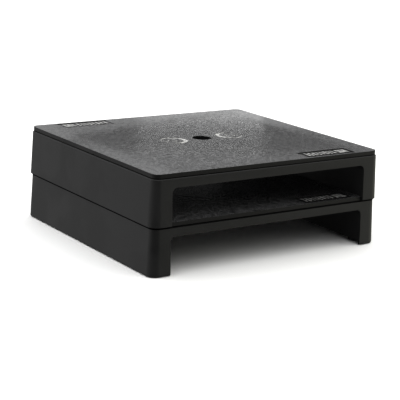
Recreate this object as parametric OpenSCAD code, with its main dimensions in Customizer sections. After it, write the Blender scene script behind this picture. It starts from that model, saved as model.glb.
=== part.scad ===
// Two stackable monitor risers, one on top of the other.
// Origin: centre of the base, where the rubber feet stand. +Z up, slots open towards -Y and +Y.

/* [Riser] */
// Width of one riser across its shoulders
riser_w = 276; // [260:1:300]
// Depth of one riser, front to back, across its shoulders
riser_d = 253; // [240:1:280]
// Height of one riser, from the bottom of its skirt to the top of its deck
riser_h = 51.6; // [50:0.2:60]
// How much further out the skirt stands at its bottom than at its shoulder, on each side
draft = 2; // [1.4:0.1:2.5]
// Radius of the four upright corners at the shoulder
corner_r = 8; // [6:0.5:12]
// Thickness of the skirt
wall = 2.6; // [2:0.1:2.6]
// Bevel along the bottom of the skirt and along the shoulder
edge_bevel = 0.7; // [0.3:0.1:1]

/* [Paper slot] */
// Width of the slot between the side channels
slot_w = 236; // [222:1:240]
// Height of the slot above the bottom of the skirt
slot_h = 37.6; // [34:0.2:38]
// Radius of the slot's two upper corners
slot_r = 5.5; // [3:0.5:8]

/* [Deck] */
// How far the deck's rim is set in from the shoulder, on each side
rim_inset = 1; // [0.8:0.1:1.5]
// Height of the deck's rim
rim_h = 4; // [3.6:0.1:4.2]
// Height of the shadow gap between the rim and the frame's shoulder
gap_h = 0.8; // [0.6:0.1:1.2]
// Thickness of the deck panel
deck_t = 3.2; // [2.6:0.1:3.6]
// Diameter of the hole in the middle of the deck
hole_d = 20; // [14:1:24]
// Distance of the diagonal ribs from the middle of the deck
diamond_reach = 69; // [60:1:72]

/* [Deck markings] */
// Length of the sunk label field
label_w = 61; // [58:1:68]
// Width of the sunk label field
label_d = 21; // [14:1:22]
// Depth of the sunk label field
label_depth = 0.8; // [0.4:0.1:1]
// Distance of each round mark from the middle of the deck
mark_x = 35; // [30:1:45]
// Outside diameter of each round mark
mark_d = 29; // [24:1:32]
// Depth to which the round marks are cut
mark_depth = 0.4; // [0.3:0.1:0.8]

/* [Stacking] */
// How far the riser above slips down over the rim of the one below
nest = 4; // [3:0.1:4.2]
// Diameter of a rubber foot
foot_d = 14; // [12:0.5:15]
// How far the feet hold the lower skirt off the table
foot_drop = 0.8; // [0.5:0.1:2]

/* [Screws] */
// Diameter of a screw's thread
screw_d = 3; // [2.5:0.1:3.5]
// Length of a screw under its head
screw_len = 10; // [8:0.5:11]
// Distance from the middle to the front and back screws
screw_y = 108; // [100:1:112]

/* [Hidden] */
$fn = 64;
hull_fn = 48;
shoulder_z = riser_h - rim_h - gap_h;
pitch = riser_h - nest;
hw = riser_w / 2;
hd = riser_d / 2;
corner_x = hw - corner_r;
corner_y = hd - corner_r;
fit_gap = 0.3;
eps = 0.01;

// Side channels: the post row's distance from the middle, the inner walls and the floor the screws pull on
rail_t = 2.5;
rail_x = slot_w / 2;
post_x = 129;
post_d = 15;
head_room_d = 8;
web_z = 38;
web_t = 2.4;
cross_rib_t = 2;
cross_rib_z = 10;
shallow_rib_h = 8;
channel_reach = 137.6;
header_depth = 14;
header_t = 2.4;

// Underside of the deck
panel_z = riser_h - deck_t;
rim_bottom_z = riser_h - rim_h;
tongue_t = 1.6;
tongue_z = 44;
deck_rib_t = 2;
boss_d = 8;
ring_t = 2.4;
rib_x = rail_x - 1;
rib_y = hd - wall - header_depth - 1;
diamond_tip = diamond_reach * sqrt(2);
label_x = 78;
label_y = hd - 14.5;
bar_count = 8;
bar_w = 3;
bar_step = 4.8;
first_bar_x = -24.6;
block_w = 13;
block_x = 20.4;
pad_d = 12;
pad_sink = 0.1;
mark_shift = 2;
crescent_thick = 4.8;
line_w = 1.1;
inner_d = 10;
dot_d = 3;
dot_x = 10.4;
head_d = 6.4;
head_h = 2.2;

shell_colour = [0.10, 0.10, 0.10];
deck_colour = [0.16, 0.16, 0.16];
steel_colour = [0.62, 0.62, 0.64];
rubber_colour = [0.05, 0.05, 0.05];

// ---- outlines and solids shared by the mouldings ----

// How far outside the shoulder line the skirt's outer face is at a height
function flare(z) = draft * (1 - z / shoulder_z);

// Slice of a rounded block whose faces are out0 outside the shoulder line at z0 and out1 at z1
module slice(z0, z1, out0, out1) {
    hull()
        for (sx = [-1, 1], sy = [-1, 1])
            translate([sx * corner_x, sy * corner_y, z0])
                cylinder(h = z1 - z0, r1 = corner_r + out0, r2 = corner_r + out1, $fn = hull_fn);
}

// Rounded plate with its faces a given distance inside the shoulder line
module plate(z0, z1, inset) {
    translate([0, 0, z0]) linear_extrude(z1 - z0) rounded_outline(inset);
}

module rounded_outline(inset) {
    r = corner_r - inset;
    square([2 * corner_x, 2 * (corner_y + r)], center = true);
    square([2 * (corner_x + r), 2 * corner_y], center = true);
    for (sx = [-1, 1], sy = [-1, 1]) translate([sx * corner_x, sy * corner_y]) circle(r);
}

module at_posts() {
    for (sx = [-1, 1], y = [-screw_y, 0, screw_y]) translate([sx * post_x, y, 0]) children();
}

// ---- frame: skirt, side channels and the headers over the slots ----

module skirt() {
    difference() {
        union() {
            slice(0, edge_bevel, flare(0) - edge_bevel, flare(edge_bevel));
            slice(edge_bevel, shoulder_z - edge_bevel, flare(edge_bevel), flare(shoulder_z - edge_bevel));
            slice(shoulder_z - edge_bevel, shoulder_z, flare(shoulder_z - edge_bevel), -edge_bevel);
        }
        slice(-eps, shoulder_z + eps, draft - wall, -wall);
        slot_cut();
    }
}

// The front and back slots, cut through in one pass
module slot_cut() {
    translate([0, riser_d, 0]) rotate([90, 0, 0]) linear_extrude(2 * riser_d) slot_outline();
}

module slot_outline() {
    translate([-slot_w / 2, -1]) square([slot_w, slot_h - slot_r + 1]);
    translate([-slot_w / 2 + slot_r, -1]) square([slot_w - 2 * slot_r, slot_h + 1]);
    for (sx = [-1, 1]) translate([sx * (slot_w / 2 - slot_r), slot_h - slot_r]) circle(slot_r);
}

// Walls that line the slot's two sides and carry the deck; they stand on the deck of the riser below
module rails() {
    for (s = [0, 1]) mirror([s, 0, 0])
        translate([rail_x, 0, 0]) rotate([90, 0, 90]) linear_extrude(rail_t) rail_outline();
}

// A rail from the side: its ends follow the skirt, and step back where the deck's tongue passes
module rail_outline() {
    foot_y = hd + flare(nest) - wall / 2;
    step_z = tongue_z - fit_gap;
    step_y = hd + flare(step_z) - wall / 2;
    top_y = hd - wall - fit_gap - tongue_t - fit_gap;
    polygon([
        [-foot_y, nest], [foot_y, nest], [step_y, step_z], [top_y, step_z],
        [top_y, panel_z], [-top_y, panel_z], [-top_y, step_z], [-step_y, step_z]
    ]);
}

// Floor of the channels, which the screw heads pull against
module channel_webs() {
    for (s = [0, 1]) mirror([s, 0, 0])
        translate([0, 0, web_z]) linear_extrude(web_t) intersection() {
            rounded_outline(wall / 2);
            translate([rail_x + 1, -hd]) square([riser_w, riser_d]);
        }
}

// Deep ribs tie each post to the channel's walls, and a shallow one stiffens the floor half way between
module cross_ribs() {
    for (i = [-2 : 2]) {
        z0 = i % 2 == 0 ? cross_rib_z : web_z - shallow_rib_h;
        for (s = [0, 1]) mirror([s, 0, 0])
            translate([rail_x + 1, i * screw_y / 2 - cross_rib_t / 2, z0])
                cube([channel_reach - rail_x - 1, cross_rib_t, web_z - z0 + 1]);
    }
}

module posts() {
    at_posts() translate([0, 0, nest]) cylinder(h = web_z - nest + 1, d = post_d);
}

// Lip and back wall that make each header a channel section
module headers() {
    inner_y = hd - wall - header_depth;
    for (s = [0, 1]) mirror([0, s, 0]) {
        translate([-slot_w / 2 - 1, inner_y, slot_h])
            cube([slot_w + 2, header_depth + wall / 2, header_t]);
        translate([-slot_w / 2 - 1, inner_y, slot_h])
            cube([slot_w + 2, header_t, panel_z - slot_h]);
    }
}

// The slot's rounded upper corners, carried back as gussets under each header
module corner_gussets() {
    inner_y = hd - wall - header_depth;
    for (sx = [-1, 1], sy = [-1, 1]) scale_mirror(sx, sy)
        difference() {
            translate([slot_w / 2 - slot_r, inner_y, slot_h - slot_r])
                cube([slot_r + 1, header_depth + wall / 2, slot_r + 1]);
            translate([slot_w / 2 - slot_r, inner_y - 1, slot_h - slot_r])
                rotate([-90, 0, 0]) cylinder(h = header_depth + wall + 2, r = slot_r);
        }
}

module scale_mirror(sx, sy) {
    mirror([sx < 0 ? 1 : 0, 0, 0]) mirror([0, sy < 0 ? 1 : 0, 0]) children();
}

module screw_passages() {
    at_posts() {
        translate([0, 0, nest - 1]) cylinder(h = web_z - nest + 1, d = head_room_d);
        translate([0, 0, web_z - 1]) cylinder(h = web_t + 2, d = screw_d + 0.6);
    }
}

module riser_frame() {
    difference() {
        union() {
            skirt();
            rails();
            channel_webs();
            cross_ribs();
            posts();
            headers();
            corner_gussets();
        }
        screw_passages();
    }
}

// ---- deck: panel, rim, tongue, ribs and bosses ----

module deck_body() {
    difference() {
        union() {
            plate(panel_z, riser_h, rim_inset);
            difference() {
                plate(rim_bottom_z, panel_z + eps, rim_inset);
                plate(rim_bottom_z - 1, panel_z + 1, wall + tongue_t);
            }
            tongue();
        }
        translate([0, 0, panel_z - 1]) cylinder(h = deck_t + 2, d = hole_d);
        at_labels() label_field();
    }
}

// Thin wall that drops inside the frame and centres the deck
module tongue() {
    difference() {
        plate(tongue_z, panel_z + eps, wall + fit_gap);
        plate(tongue_z - 1, panel_z + 1, wall + fit_gap + tongue_t);
    }
}

module bar(from, to, z0, z1) {
    run = to - from;
    translate([from[0], from[1], z0]) rotate([0, 0, atan2(run[1], run[0])])
        translate([0, -deck_rib_t / 2, 0]) cube([norm(run), deck_rib_t, z1 - z0]);
}

// Ribs under the panel: a diamond round the middle, a cross through it and stays out to the corners
module deck_ribs() {
    z0 = web_z + web_t;
    z1 = panel_z + eps;
    side = diamond_tip - diamond_reach / sqrt(2);
    for (sx = [-1, 1], sy = [-1, 1]) {
        bar([sx * diamond_tip, 0], [0, sy * diamond_tip], z0, z1);
        bar([sx * side, sy * side], [sx * rib_y, sy * rib_y], z0, z1);
    }
    for (s = [-1, 1]) {
        bar([s * hole_d / 2 + s * ring_t / 2, 0], [s * rib_x, 0], z0, z1);
        bar([0, s * hole_d / 2 + s * ring_t / 2], [0, s * rib_y], z0, z1);
    }
}

module hole_ring() {
    translate([0, 0, web_z + web_t]) difference() {
        cylinder(h = panel_z - web_z - web_t + eps, d = hole_d + 2 * ring_t);
        translate([0, 0, -1]) cylinder(h = panel_z, d = hole_d);
    }
}

module bosses() {
    at_posts() translate([0, 0, web_z + web_t]) cylinder(h = panel_z - web_z - web_t + eps, d = boss_d);
}

module boss_pilots() {
    at_posts() translate([0, 0, web_z + web_t - 1])
        cylinder(h = screw_len - web_t + 2.4, d = screw_d + 0.1);
}

// Each label field and its half-turned twin
module at_labels() {
    for (a = [0, 180]) rotate([0, 0, a]) translate([label_x, -label_y, riser_h]) children();
}

module label_field() {
    translate([-label_w / 2, -label_d / 2, -label_depth]) cube([label_w, label_d, label_depth + 1]);
}

// Plain pads that stand in the label field: a row of equal bars, and a wider block at one end
module label_pads() {
    for (i = [0 : bar_count - 1]) pad(first_bar_x + i * bar_step, bar_w);
    pad(block_x, block_w);
}

module pad(x, w) {
    translate([x - w / 2, -pad_d / 2, -label_depth - eps]) cube([w, pad_d, label_depth - pad_sink + eps]);
}

// Round mark: a crescent, thick towards the middle of the deck, with a small ring and a dot inside it
module round_mark() {
    translate([0, 0, -mark_depth]) {
        difference() {
            cylinder(h = mark_depth + 1, d = mark_d);
            translate([mark_shift, 0, -1])
                cylinder(h = mark_depth + 3, d = mark_d - 2 * crescent_thick + 2 * mark_shift);
        }
        translate([mark_shift, 0, 0]) difference() {
            cylinder(h = mark_depth + 1, d = inner_d);
            translate([0, 0, -1]) cylinder(h = mark_depth + 3, d = inner_d - 2 * line_w);
        }
        translate([dot_x, 0, 0]) cylinder(h = mark_depth + 1, d = dot_d);
    }
}

module riser_deck() {
    difference() {
        union() {
            deck_body();
            deck_ribs();
            hole_ring();
            bosses();
            at_labels() label_pads();
        }
        boss_pilots();
        for (a = [0, 180]) rotate([0, 0, a]) translate([mark_x, 0, riser_h]) round_mark();
    }
}

// ---- screws and feet ----

module screw() {
    difference() {
        translate([0, 0, -head_h]) cylinder(h = head_h, d = head_d);
        for (a = [0, 90]) rotate([0, 0, a])
            translate([-1.8, -0.4, -head_h - 1]) cube([3.6, 0.8, 2.2]);
    }
    cylinder(h = screw_len, d = screw_d);
}

module riser_screws() {
    at_posts() translate([0, 0, web_z]) screw();
}

module foot() {
    translate([0, 0, -foot_drop]) {
        cylinder(h = 1, d1 = foot_d - 2, d2 = foot_d);
        translate([0, 0, 1]) cylinder(h = nest + foot_drop - 1, d = foot_d);
    }
}

module corner_foot(sx, sy) {
    color(rubber_colour) translate([sx * post_x, sy * screw_y, foot_drop]) foot();
}

// ---- pieces in place ----

module lower_frame() { color(shell_colour) translate([0, 0, foot_drop]) riser_frame(); }
module lower_deck() { color(deck_colour) translate([0, 0, foot_drop]) riser_deck(); }
module lower_screws() { color(steel_colour) translate([0, 0, foot_drop]) riser_screws(); }
module upper_frame() { color(shell_colour) translate([0, 0, foot_drop + pitch]) riser_frame(); }
module upper_deck() { color(deck_colour) translate([0, 0, foot_drop + pitch]) riser_deck(); }
module upper_screws() { color(steel_colour) translate([0, 0, foot_drop + pitch]) riser_screws(); }

lower_frame();
lower_deck();
lower_screws();
corner_foot(-1, -1);  // foot_front_left
corner_foot(1, -1);  // foot_front_right
corner_foot(-1, 1);  // foot_rear_left
corner_foot(1, 1);  // foot_rear_right
upper_frame();
upper_deck();
upper_screws();
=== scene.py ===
"""Looks for a stack of two plastic monitor risers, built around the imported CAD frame."""

import math

import bpy
from mathutils import Matrix, Vector


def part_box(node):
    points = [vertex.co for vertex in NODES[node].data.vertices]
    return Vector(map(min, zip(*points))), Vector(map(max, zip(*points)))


MM = 0.001

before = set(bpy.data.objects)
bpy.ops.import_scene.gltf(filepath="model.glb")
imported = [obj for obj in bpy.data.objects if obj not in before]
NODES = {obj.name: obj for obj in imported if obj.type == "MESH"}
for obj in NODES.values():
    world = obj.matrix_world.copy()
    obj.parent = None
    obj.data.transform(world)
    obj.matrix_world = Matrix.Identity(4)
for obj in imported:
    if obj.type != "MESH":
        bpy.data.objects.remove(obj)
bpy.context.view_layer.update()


# ---- camera ----

CAMERA_AZIMUTH = math.radians(-34.64)
CAMERA_ELEVATION = math.radians(14.40)
CAMERA_ROLL = math.radians(2.47)
CAMERA_DISTANCE = 1386.0 * MM
CAMERA_SHIFT_RIGHT = 2.2 * MM
CAMERA_SHIFT_UP = 30.0 * MM
CLIP_START = 10 * MM
SENSOR = 36.0
LENS = 115.5


def add_camera():
    """Looks at the object's middle, at the level of the skirt's foot, from the front left and above."""
    az, el, roll = CAMERA_AZIMUTH, CAMERA_ELEVATION, CAMERA_ROLL
    back = Vector((math.sin(az) * math.cos(el), -math.cos(az) * math.cos(el), math.sin(el)))
    level_right = (-back).cross(Vector((0, 0, 1))).normalized()
    level_up = level_right.cross(-back)
    right = level_right * math.cos(roll) + level_up * math.sin(roll)
    up = level_up * math.cos(roll) - level_right * math.sin(roll)
    target = Vector((0, 0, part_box("lower_frame")[0].z))
    place = target + back * CAMERA_DISTANCE + right * CAMERA_SHIFT_RIGHT + up * CAMERA_SHIFT_UP
    data = bpy.data.cameras.new("camera")
    data.sensor_width = SENSOR
    data.lens = LENS
    data.clip_start = CLIP_START
    camera = bpy.data.objects.new("camera", data)
    bpy.context.scene.collection.objects.link(camera)
    turn = Matrix((right, up, back)).transposed().to_4x4()
    camera.matrix_world = Matrix.Translation(place) @ turn
    bpy.context.scene.camera = camera


# ---- node trees ----


class Graph:
    """Short names for building the node tree of a material or the world."""

    def __init__(self, owner):
        self.owner = owner
        owner.use_nodes = True
        self.tree = owner.node_tree
        self.coordinates = None

    @classmethod
    def material(cls, name):
        made = cls(bpy.data.materials.new(name))
        made.shader = made.tree.nodes["Principled BSDF"]
        return made

    def node(self, kind, **settings):
        made = self.tree.nodes.new(kind)
        for key, value in settings.items():
            setattr(made, key, value)
        return made

    def link(self, source, target):
        self.tree.links.new(source, target)

    def feed(self, socket, value):
        """Links an output, or sets a plain value."""
        if isinstance(value, bpy.types.NodeSocket):
            self.link(value, socket)
        else:
            socket.default_value = value

    def math(self, operation, a, b=0.0):
        made = self.node("ShaderNodeMath", operation=operation)
        self.feed(made.inputs[0], a)
        self.feed(made.inputs[1], b)
        return made.outputs[0]

    def vector_math(self, operation, a, b):
        """Works on two vectors, or for SCALE on a vector and a number."""
        made = self.node("ShaderNodeVectorMath", operation=operation)
        self.feed(made.inputs[0], a)
        self.feed(made.inputs["Scale" if operation == "SCALE" else 1], b)
        return made

    def ramp(self, value, low, high, out_low=0.0, out_high=1.0):
        made = self.node("ShaderNodeMapRange", interpolation_type="SMOOTHSTEP")
        self.feed(made.inputs["Value"], value)
        made.inputs["From Min"].default_value = low
        made.inputs["From Max"].default_value = high
        made.inputs["To Min"].default_value = out_low
        made.inputs["To Max"].default_value = out_high
        return made.outputs["Result"]

    def noise(self, size, detail=2.0, rough=0.5, distortion=0.0, vector=None, output="Fac"):
        """Noise whose lumps are about size metres across: its value, or with output="Color" three values."""
        made = self.node("ShaderNodeTexNoise")
        made.inputs["Scale"].default_value = 1.0 / size
        made.inputs["Detail"].default_value = detail
        made.inputs["Roughness"].default_value = rough
        made.inputs["Distortion"].default_value = distortion
        self.link(vector or self.place(), made.inputs["Vector"])
        return made.outputs[output]

    def cells(self, size, feature, vector):
        made = self.node("ShaderNodeTexVoronoi", feature=feature)
        made.inputs["Scale"].default_value = 1.0 / size
        self.link(vector, made.inputs["Vector"])
        return made.outputs["Distance"]

    def place(self):
        """Object coordinates."""
        if self.coordinates is None:
            self.coordinates = self.node("ShaderNodeTexCoord")
        return self.coordinates.outputs["Object"]

    def axes(self):
        made = self.node("ShaderNodeSeparateXYZ")
        self.link(self.place(), made.inputs[0])
        return made.outputs

    def total(self, *parts):
        """Sum of values, each given as an output or as (output, factor)."""
        result = 0.0
        for part in parts:
            if isinstance(part, tuple):
                part = self.math("MULTIPLY", *part)
            result = self.math("ADD", part, result)
        return result

    def mix(self, share, low, high):
        made = self.node("ShaderNodeMix", data_type="RGBA")
        self.feed(made.inputs["Factor"], share)
        for socket, value in (("A", low), ("B", high)):
            self.feed(made.inputs[socket], (*value, 1.0) if isinstance(value, tuple) else value)
        return made.outputs["Result"]

    def bump(self, height, distance):
        made = self.node("ShaderNodeBump")
        made.inputs["Strength"].default_value = 1.0
        made.inputs["Distance"].default_value = distance
        self.link(height, made.inputs["Height"])
        return made.outputs["Normal"]

    def finish(self, colour, roughness, normal=None, **plain):
        """Feeds the shader; plain holds uniform values, with _ for each space in the socket's name."""
        self.feed(self.shader.inputs["Base Color"], colour)
        self.feed(self.shader.inputs["Roughness"], roughness)
        if normal is not None:
            self.link(normal, self.shader.inputs["Normal"])
        for key, value in plain.items():
            self.shader.inputs[key.replace("_", " ")].default_value = value
        return self.owner


# ---- materials ----

FINE_TEXTURE = 1.1 * MM
FLOW_MARK = 55 * MM
STREAK = 9 * MM
DRAWN_UPRIGHT = (1, 1, 0.12)
FINE_DEPTH = 0.06 * MM


def grey(level, blue=1.0):
    return (level, level, level * blue)


def frame_plastic(name, dark, light, specular):
    """Satin black moulding: fine spark-eroded texture, cloudy flow marks and faint upright streaks."""
    g = Graph.material(name)
    fine = g.noise(FINE_TEXTURE, detail=3, rough=0.6)
    flow = g.noise(FLOW_MARK, detail=3, distortion=0.8)
    drawn = g.vector_math("MULTIPLY", g.place(), DRAWN_UPRIGHT).outputs[0]
    streaks = g.noise(STREAK, vector=drawn)
    cloud = g.total((g.ramp(flow, 0.3, 0.7), 0.75), (streaks, 0.25))
    colour = g.mix(cloud, grey(dark), grey(light))
    rough = g.total(g.ramp(cloud, 0.1, 0.9, 0.41, 0.51), (fine, 0.06))
    return g.finish(colour, rough, g.bump(fine, FINE_DEPTH), Specular_IOR_Level=specular)


# The deck's painted sheen leaves out a dark band that runs from its back left to its front right.
# BAND_ACROSS points across the band, to the back right.
BAND_ACROSS = Vector((0.48, 0.87))
BAND_WANDER = 18 * MM
BAND_LUMP = 60 * MM
BEHIND_BAND = (28 * MM, 112 * MM)
BEFORE_BAND = (-20 * MM, -100 * MM)
# The far zone of painted sheen lies along the back, and reaches further forward on the left.
FAR_ACROSS = Vector((-0.25, 0.97))
FAR_ZONE = (66 * MM, 112 * MM)
SIDE_BORDERS = (104 * MM, 126 * MM)
RIGHT_EDGE_X = (106 * MM, 128 * MM)
RIGHT_EDGE_Y = (-20 * MM, 40 * MM)
DIAMOND_TIP = 97.6 * MM
RIB_HALF_WIDTH = 4 * MM
# How much painted sheen each zone adds.
ZONE_SHARES = {"back": 0.52, "far": 0.95, "front": 0.57, "border": 0.55, "rib": 0.36, "edge": 0.85}


def deck_painted_sheen(g):
    """Painted sheen on the deck: about 0 in the dark band, more in each zone round it and over the ribs."""
    x, y, _ = g.axes()
    side = g.math("ABSOLUTE", x)
    wander = (g.noise(BAND_LUMP, detail=3), BAND_WANDER)
    across = g.total((x, BAND_ACROSS.x), (y, BAND_ACROSS.y), wander, -BAND_WANDER / 2)
    far_across = g.total((x, FAR_ACROSS.x), (y, FAR_ACROSS.y))
    from_rib = g.math("ABSOLUTE", g.total(side, g.math("ABSOLUTE", y), -DIAMOND_TIP))
    zones = {
        "back": g.ramp(across, *BEHIND_BAND),
        "far": g.ramp(far_across, *FAR_ZONE),
        "front": g.ramp(across, *BEFORE_BAND),
        "border": g.ramp(side, *SIDE_BORDERS),
        "rib": g.ramp(from_rib, RIB_HALF_WIDTH, 0.0),
        "edge": g.math("MULTIPLY", g.ramp(x, *RIGHT_EDGE_X), g.ramp(y, *RIGHT_EDGE_Y)),
    }
    return g.total(*((zones[name], share) for name, share in ZONE_SHARES.items()))


DECK_DARK = (0.008, 0.008, 0.0085)
DECK_PALE = (0.150, 0.150, 0.153)
WRINKLE = 3.0 * MM
PEBBLE = 2.6 * MM
PEBBLE_GROOVE = 0.24
BEND_LUMP = 2.5 * MM
BEND = 1.6 * MM
GRAIN_DEPTH = 0.20 * MM


def deck_plastic():
    """Black with a pebbled leather-like grain, over broad zones of painted sheen."""
    g = Graph.material("deck_plastic")
    sheen = deck_painted_sheen(g)
    wrinkles = g.noise(WRINKLE, rough=0.6, distortion=0.8)
    drift = g.vector_math("SCALE", g.noise(BEND_LUMP, output="Color"), BEND).outputs[0]
    bent = g.vector_math("ADD", g.place(), drift).outputs[0]
    pebble = g.ramp(g.cells(PEBBLE, "DISTANCE_TO_EDGE", bent), 0.0, PEBBLE_GROOVE)
    speck = g.total((g.ramp(wrinkles, 0.40, 0.60), 0.6), (pebble, 0.4))
    # The lighter end of the colour mix carries both the grain and the painted sheen.
    shade = g.total((sheen, 0.50), (speck, 1.00), -0.31)
    colour = g.mix(shade, DECK_DARK, DECK_PALE)
    rough = g.total(g.ramp(sheen, 0.0, 1.0, 0.28, 0.40), (speck, -0.10))
    grain = g.total((pebble, 0.7), (wrinkles, 0.5))
    return g.finish(colour, rough, g.bump(grain, GRAIN_DEPTH), Specular_IOR_Level=0.5)


WEAR_PATCH = 3 * MM
WEAR_DEPTH = 0.06 * MM
WARM = 0.98


def painted_glint_mark(name, dark, light):
    """Painted glint: a lighter polished colour on the marks cut in the deck stands in for their highlights,
    broken into random patches.
    """
    g = Graph.material(name)
    cloud = g.ramp(g.noise(WEAR_PATCH, detail=3, rough=0.6), 0.35, 0.65)
    colour = g.mix(cloud, grey(dark, WARM), grey(light, WARM))
    return g.finish(colour, g.ramp(cloud, 0.0, 1.0, 0.42, 0.30), g.bump(cloud, WEAR_DEPTH))


RUBBER_PORE = 0.8 * MM
RUBBER_BLOTCH = 4 * MM
PORE_DEPTH = 0.05 * MM


def foot_rubber():
    g = Graph.material("foot_rubber")
    normal = g.bump(g.noise(RUBBER_PORE, detail=3), PORE_DEPTH)
    colour = g.mix(g.noise(RUBBER_BLOTCH), grey(0.012), grey(0.022))
    return g.finish(colour, 0.8, normal)


STEEL_TURNING = 0.3 * MM
STEEL_BLOTCH = 3 * MM
TURNING_DEPTH = 0.01 * MM


def screw_steel():
    g = Graph.material("screw_steel")
    turned = g.noise(STEEL_TURNING)
    colour = g.mix(g.noise(STEEL_BLOTCH), (0.50, 0.50, 0.52), (0.64, 0.64, 0.65))
    rough = g.ramp(turned, 0.3, 0.7, 0.22, 0.38)
    return g.finish(colour, rough, g.bump(turned, TURNING_DEPTH), Metallic=1.0)


def plain(name, colour, roughness, specular):
    """A uniform material, for the stage."""
    return Graph.material(name).finish((*colour, 1.0), roughness, Specular_IOR_Level=specular)


# ---- CAD nodes: rounded edges and finishes ----

WELD_REACH = 0.002 * MM
BEVEL_SEGMENTS = 3
SHARP_ANGLE = math.radians(32)


def soften(node, width):
    """Welds the CAD mesh's split edges and rounds its sharp ones, by modifiers only."""
    obj = NODES[node]
    mesh = obj.data
    if "custom_normal" in mesh.attributes:
        mesh.attributes.remove(mesh.attributes["custom_normal"])
    mesh.shade_smooth()
    weld = obj.modifiers.new("weld", "WELD")
    weld.merge_threshold = WELD_REACH
    bevel = obj.modifiers.new("bevel", "BEVEL")
    bevel.width = width
    bevel.segments = BEVEL_SEGMENTS
    bevel.limit_method = "ANGLE"
    bevel.angle_limit = SHARP_ANGLE
    bevel.harden_normals = True
    bevel.use_clamp_overlap = True
    return obj


def dress(node, finishes, edge, pick=None):
    """Gives a node its finishes. pick(face, low, high) says which one a face takes, by default the first."""
    obj = soften(node, edge)
    obj.data.materials.clear()
    for material in finishes:
        obj.data.materials.append(material)
    if pick is not None:
        low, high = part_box(node)
        for face in obj.data.polygons:
            face.material_index = pick(face, low, high)


SKIN = 0.05 * MM
SEAM_GAP = 0.8 * MM
SEAM_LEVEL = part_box("upper_frame")[0].z
LABEL_DEPTH = 0.8 * MM
HOLE_CLEAR = 11 * MM
RIM_CLEAR = 3 * MM


def frame_finish(face, low, high):
    """Which finish a frame face takes: 0 plain, 1 painted shade on the edges that meet where the risers
    touch.
    """
    below = SEAM_LEVEL - face.center.z
    near_seam = -SEAM_GAP < below < 2 * SEAM_GAP
    return 1 if near_seam and abs(face.normal.z) > 0.2 else 0


def deck_finish(face, low, high):
    """Which finish a deck face takes: 0 grained, 1 plain moulding, 2 round marks and 3 label bars, both with
    painted glint.
    """
    centre, up = face.center, face.normal.z
    depth = high.z - centre.z
    inside = abs(centre.x) < high.x - RIM_CLEAR and abs(centre.y) < high.y - RIM_CLEAR
    if depth < SKIN and up > 0.5:
        return 0
    if not inside or depth > LABEL_DEPTH + SKIN or centre.xy.length < HOLE_CLEAR:
        return 1
    if abs(centre.y) < high.y / 2:
        return 2
    if up > 0.5 and depth < LABEL_DEPTH - SKIN:
        return 3
    return 1 if centre.y < 0 else 0


# ---- stage ----

FLOOR_SIZE = 16
SHADE_DROP = 0.5 * MM


def add_floor():
    bpy.ops.mesh.primitive_plane_add(size=FLOOR_SIZE, location=(0, 0, 0))
    floor = bpy.context.object
    floor.name = "floor"
    floor.data.materials.append(plain("pale_floor", (0.93, 0.93, 0.925), 0.6, 0.1))
    floor.visible_glossy = False


def add_shade():
    """The shaded floor below the object, which only its own reflections see."""
    low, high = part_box("lower_frame")
    size = high - low
    bpy.ops.mesh.primitive_plane_add(size=1, location=(0, 0, -SHADE_DROP))
    shade = bpy.context.object
    shade.name = "shade"
    shade.scale = (size.x, size.y, 1)
    shade.visible_camera = False
    shade.visible_diffuse = False
    shade.visible_shadow = False
    shade.data.materials.append(plain("shaded_floor", grey(0.02), 1.0, 0.0))


BACK_LIGHT_PLACE = Vector((0.105, 0.155, 0.111))
BACK_LIGHT_TARGET = Vector((0.065, 0.10, 0.10))
BACK_LIGHT_SIZE = (0.15, 0.008)
BACK_LIGHT_WATTS = 0.0090


def add_back_light():
    """A low strip just behind the back right edge, which the far end of the deck mirrors."""
    data = bpy.data.lights.new("back", "AREA")
    data.shape = "RECTANGLE"
    data.size, data.size_y = BACK_LIGHT_SIZE
    data.energy = BACK_LIGHT_WATTS
    light = bpy.data.objects.new("back", data)
    bpy.context.scene.collection.objects.link(light)
    aim = (BACK_LIGHT_TARGET - BACK_LIGHT_PLACE).to_track_quat("-Z", "Y")
    light.matrix_world = Matrix.Translation(BACK_LIGHT_PLACE) @ aim.to_matrix().to_4x4()
    light.visible_camera = False


WHITE = (1.0, 1.0, 1.0, 1.0)
SKY_HORIZON = 0.12
SKY_ZENITH = 1.75
SKY_RISE = (0.05, 0.75)
# Each glow: the direction it comes from, the cosine at its edge, its strength and its colour.
GLOWS = (
    (Vector((-0.78, 0.62, -0.05)), 0.45, 1.05, (1.0, 1.0, 1.0)),
    (Vector((0.95, -0.31, -0.14)), 0.55, 1.60, (1.0, 1.0, 0.86)),
)


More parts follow.
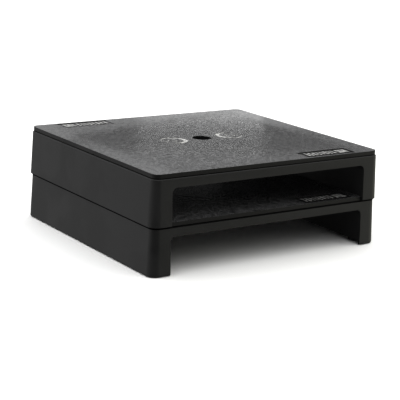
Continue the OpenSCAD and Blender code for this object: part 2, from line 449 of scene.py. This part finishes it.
def add_world():
    """A white room: dim near the horizon, bright overhead, with broad glows low down at two sides.
    The camera itself sees plain white."""
    world = bpy.data.worlds.new("studio")
    bpy.context.scene.world = world
    g = Graph(world)
    background = g.tree.nodes["Background"]
    output = g.tree.nodes["World Output"]
    direction = g.node("ShaderNodeTexCoord").outputs["Generated"]
    split = g.node("ShaderNodeSeparateXYZ")
    g.link(direction, split.inputs[0])
    strengths = [g.ramp(split.outputs["Z"], *SKY_RISE, SKY_HORIZON, SKY_ZENITH)]
    colour = g.node("ShaderNodeRGB").outputs[0]
    colour.default_value = WHITE
    for source, edge, strength, tint in GLOWS:
        facing = g.vector_math("DOT_PRODUCT", direction, source.normalized()).outputs["Value"]
        share = g.ramp(facing, edge, 1.0)
        strengths.append((share, strength))
        colour = g.mix(share, colour, tint)
    g.link(g.total(*strengths), background.inputs["Strength"])
    g.link(colour, background.inputs["Color"])
    seen = g.node("ShaderNodeBackground")
    seen.inputs["Strength"].default_value = 1.0
    seen.inputs["Color"].default_value = WHITE
    swap = g.node("ShaderNodeMixShader")
    g.link(g.node("ShaderNodeLightPath").outputs["Is Camera Ray"], swap.inputs["Fac"])
    g.link(background.outputs[0], swap.inputs[1])
    g.link(seen.outputs[0], swap.inputs[2])
    g.link(swap.outputs[0], output.inputs["Surface"])


# ---- the scene ----

MOULDING_EDGE = 0.3 * MM
SCREW_EDGE = 0.15 * MM
FOOT_EDGE = 0.4 * MM
VIEW_GAMMA = 0.8

add_camera()
add_floor()
add_shade()
add_world()
add_back_light()

plastic = frame_plastic("frame_plastic", 0.0090, 0.0165, 0.35)
rim_plastic = frame_plastic("rim_plastic", 0.0062, 0.0100, 0.25)
# Near-black copy of the frame plastic: painted shade in the gap where the risers meet.
seam_painted_shade = frame_plastic("seam_painted_shade", 0.0010, 0.0018, 0.05)
deck = deck_plastic()
# Lighter colours painted on the round marks and label bars as glints.
mark_glint = painted_glint_mark("painted_glint_mark", 0.20, 0.66)
label_glint = painted_glint_mark("label_painted_glint", 0.09, 0.48)
rubber = foot_rubber()
steel = screw_steel()
for riser in ("lower", "upper"):
    dress(riser + "_frame", (plastic, seam_painted_shade), MOULDING_EDGE, frame_finish)
    dress(riser + "_deck", (deck, rim_plastic, mark_glint, label_glint), MOULDING_EDGE, deck_finish)
    dress(riser + "_screws", (steel,), SCREW_EDGE)
for corner in ("front_left", "front_right", "rear_left", "rear_right"):
    dress("foot_" + corner, (rubber,), FOOT_EDGE)

view = bpy.context.scene.view_settings
view.view_transform = "Standard"
view.gamma = VIEW_GAMMA
